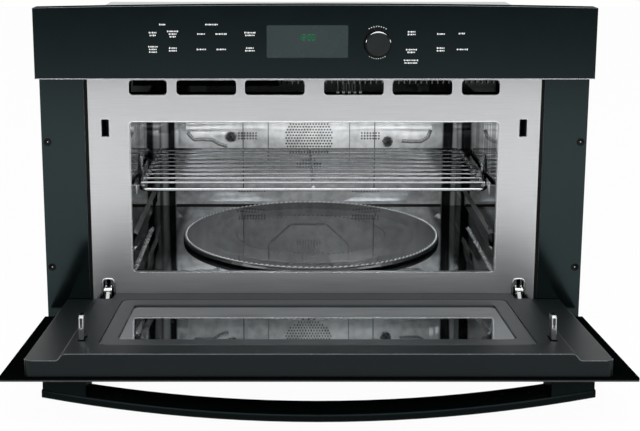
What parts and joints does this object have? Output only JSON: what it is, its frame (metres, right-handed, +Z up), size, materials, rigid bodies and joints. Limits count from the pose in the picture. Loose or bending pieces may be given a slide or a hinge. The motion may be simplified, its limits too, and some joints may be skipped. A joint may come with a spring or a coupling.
{
  "type": "built-in oven",
  "caption": "Built-in electric oven with drop-down door, wire rack, glass turntable, top control panel with a turning dial, bowed handle and side mounting flanges.",
  "frame": {"origin": "on the shelf, under the middle of the base's front edge, in the plane of the cabinet face", "axes": "+X to the right seen from the front, +Y back into the cabinet, +Z up"},
  "size_m": [0.756, 0.8549, 0.486],
  "materials": {
    "zinc_sheet": "plain zinc-coated sheet",
    "dark_enamel": "dark grey-green gloss paint",
    "brushed_front": "fine brushed stainless",
    "polished_cavity": "polished stainless",
    "chrome_wire": "bright chrome",
    "tray_glass": "clear pressed glass",
    "dark_plastic": "dull black plastic",
    "heat_plastic": "pale heat-proof plastic",
    "panel_gloss": "black gloss sheet",
    "display_dark": "dark display window",
    "board_green": "circuit board",
    "liner_enamel": "black gloss enamel",
    "dark_glass": "dark tinted glass",
    "screen_dark": "fine perforated screen",
    "bright_steel": "bright hardware",
    "motor_steel": "plain can",
    "copper_winding": "lacquered winding",
    "heater_sheath": "oxidised tube",
    "lamp_quartz": "clear quartz with pale ends",
    "reflector_bright": "bright reflector"
  },
  "bodies": {
    "case": {"base_pan": "zinc_sheet", "side_panel_left": "zinc_sheet", "side_panel_right": "zinc_sheet", "top_cover": "zinc_sheet", "rear_panel": "zinc_sheet", "case_screws": "bright_steel", "conduit_bushing": "dark_plastic", "front_rail": "zinc_sheet", "mounting_flanges": "dark_enamel", "face_frame": "brushed_front", "bottom_vent": "dark_enamel", "exhaust_duct": "zinc_sheet", "cavity_floor": "polished_cavity", "cavity_side_walls": "polished_cavity", "cavity_ceiling": "polished_cavity", "cavity_back_wall": "polished_cavity", "rack_guides": "polished_cavity", "turntable_motor": "motor_steel", "fan_housing": "zinc_sheet", "convection_heater": "heater_sheath", "convection_motor": "motor_steel", "lamp_reflector": "reflector_bright", "halogen_lamps": "lamp_quartz", "waveguide": "zinc_sheet", "magnetron": "motor_steel", "power_transformer": "copper_winding", "blower_housing": "dark_plastic", "blower_motor": "motor_steel", "latch_switches": "dark_plastic", "hinge_brackets": "bright_steel", "hinge_pins": "bright_steel", "control_face": "panel_gloss", "display_pane": "display_dark", "control_housing": "dark_plastic", "control_board": "board_green", "dial_encoder": "dark_plastic"},
    "door": {"door_skin": "dark_enamel", "door_liner": "liner_enamel", "door_outer_pane": "dark_glass", "choke_frame": "motor_steel", "window_frame": "liner_enamel", "window_pane": "dark_glass", "window_screen": "screen_dark", "hinge_arms": "bright_steel", "handle_bar": "dark_enamel", "handle_posts": "dark_enamel"},
    "latch_left": {"latch_hook_left": "bright_steel"},
    "latch_right": {"latch_hook_right": "bright_steel"},
    "rack": {"wire_rack": "chrome_wire"},
    "turntable": {"turntable_tray": "tray_glass", "turntable_coupler": "heat_plastic"},
    "ring": {"roller_ring": "heat_plastic"},
    "roller_a": {"roller_1": "heat_plastic"},
    "roller_b": {"roller_2": "heat_plastic"},
    "roller_c": {"roller_3": "heat_plastic"},
    "fan": {"convection_fan": "motor_steel"},
    "blower": {"blower_wheel": "dark_plastic"},
    "stem": {"dial_stem": "bright_steel"},
    "knob": {"dial": "bright_steel"}
  },
  "joints": [
    {"name": "door_hinge", "type": "hinge", "parent": "case", "child": "door", "pos_m": [0, 0.001, 0.0781], "axis": [-1, 0, 0], "range_deg": [0, 85.7]},
    {"name": "latch_left_tip", "type": "hinge", "parent": "door", "child": "latch_left", "pos_m": [-0.2892, -0.23504, 0.0798], "axis": [-1, 0, 0], "range_deg": [-4, 0], "stiffness_Nm_per_rad": 0.5, "springref_deg": 5.73},
    {"name": "latch_right_tip", "type": "hinge", "parent": "door", "child": "latch_right", "pos_m": [0.2892, -0.23504, 0.0798], "axis": [-1, 0, 0], "range_deg": [-4, 0], "stiffness_Nm_per_rad": 0.5, "springref_deg": 5.73},
    {"name": "rack_slide", "type": "slide", "parent": "case", "child": "rack", "axis": [0, 1, 0], "range_m": [-0.24, 0]},
    {"name": "turntable_spin", "type": "hinge", "parent": "case", "child": "turntable", "pos_m": [0, 0.207, 0.1], "axis": [0, 0, 1], "continuous": true},
    {"name": "ring_spin", "type": "hinge", "parent": "case", "child": "ring", "pos_m": [0, 0.207, 0.09], "axis": [0, 0, 1], "continuous": true},
    {"name": "fan_spin", "type": "hinge", "parent": "case", "child": "fan", "pos_m": [0, 0.449, 0.218], "axis": [0, 1, 0], "continuous": true},
    {"name": "blower_spin", "type": "hinge", "parent": "case", "child": "blower", "pos_m": [-0.23, 0.33, 0.3811], "axis": [1, 0, 0], "continuous": true},
    {"name": "dial_push", "type": "slide", "parent": "case", "child": "stem", "axis": [0, 1, 0], "range_m": [0, 0.0015], "stiffness_N_per_m": 300, "springref_m": -0.003},
    {"name": "dial_turn", "type": "hinge", "parent": "stem", "child": "knob", "pos_m": [0.0838, -0.04, 0.435], "axis": [0, -1, 0], "continuous": true},
    {"name": "roller_1_spin", "type": "hinge", "parent": "ring", "child": "roller_a", "pos_m": [0, 0.357, 0.0947], "axis": [0, 1, 0], "continuous": true},
    {"name": "roller_2_spin", "type": "hinge", "parent": "ring", "child": "roller_b", "pos_m": [-0.1299, 0.132, 0.0947], "axis": [-0.866, -0.5, 0], "continuous": true},
    {"name": "roller_3_spin", "type": "hinge", "parent": "ring", "child": "roller_c", "pos_m": [0.1299, 0.132, 0.0947], "axis": [0.866, -0.5, 0], "continuous": true}
  ],
  "couplings": [
    {"joint": "ring_spin", "follows": "turntable_spin", "ratio": 0.5},
    {"joint": "roller_1_spin", "follows": "turntable_spin", "ratio": -10.135},
    {"joint": "roller_2_spin", "follows": "turntable_spin", "ratio": -10.135},
    {"joint": "roller_3_spin", "follows": "turntable_spin", "ratio": -10.135}
  ]
}
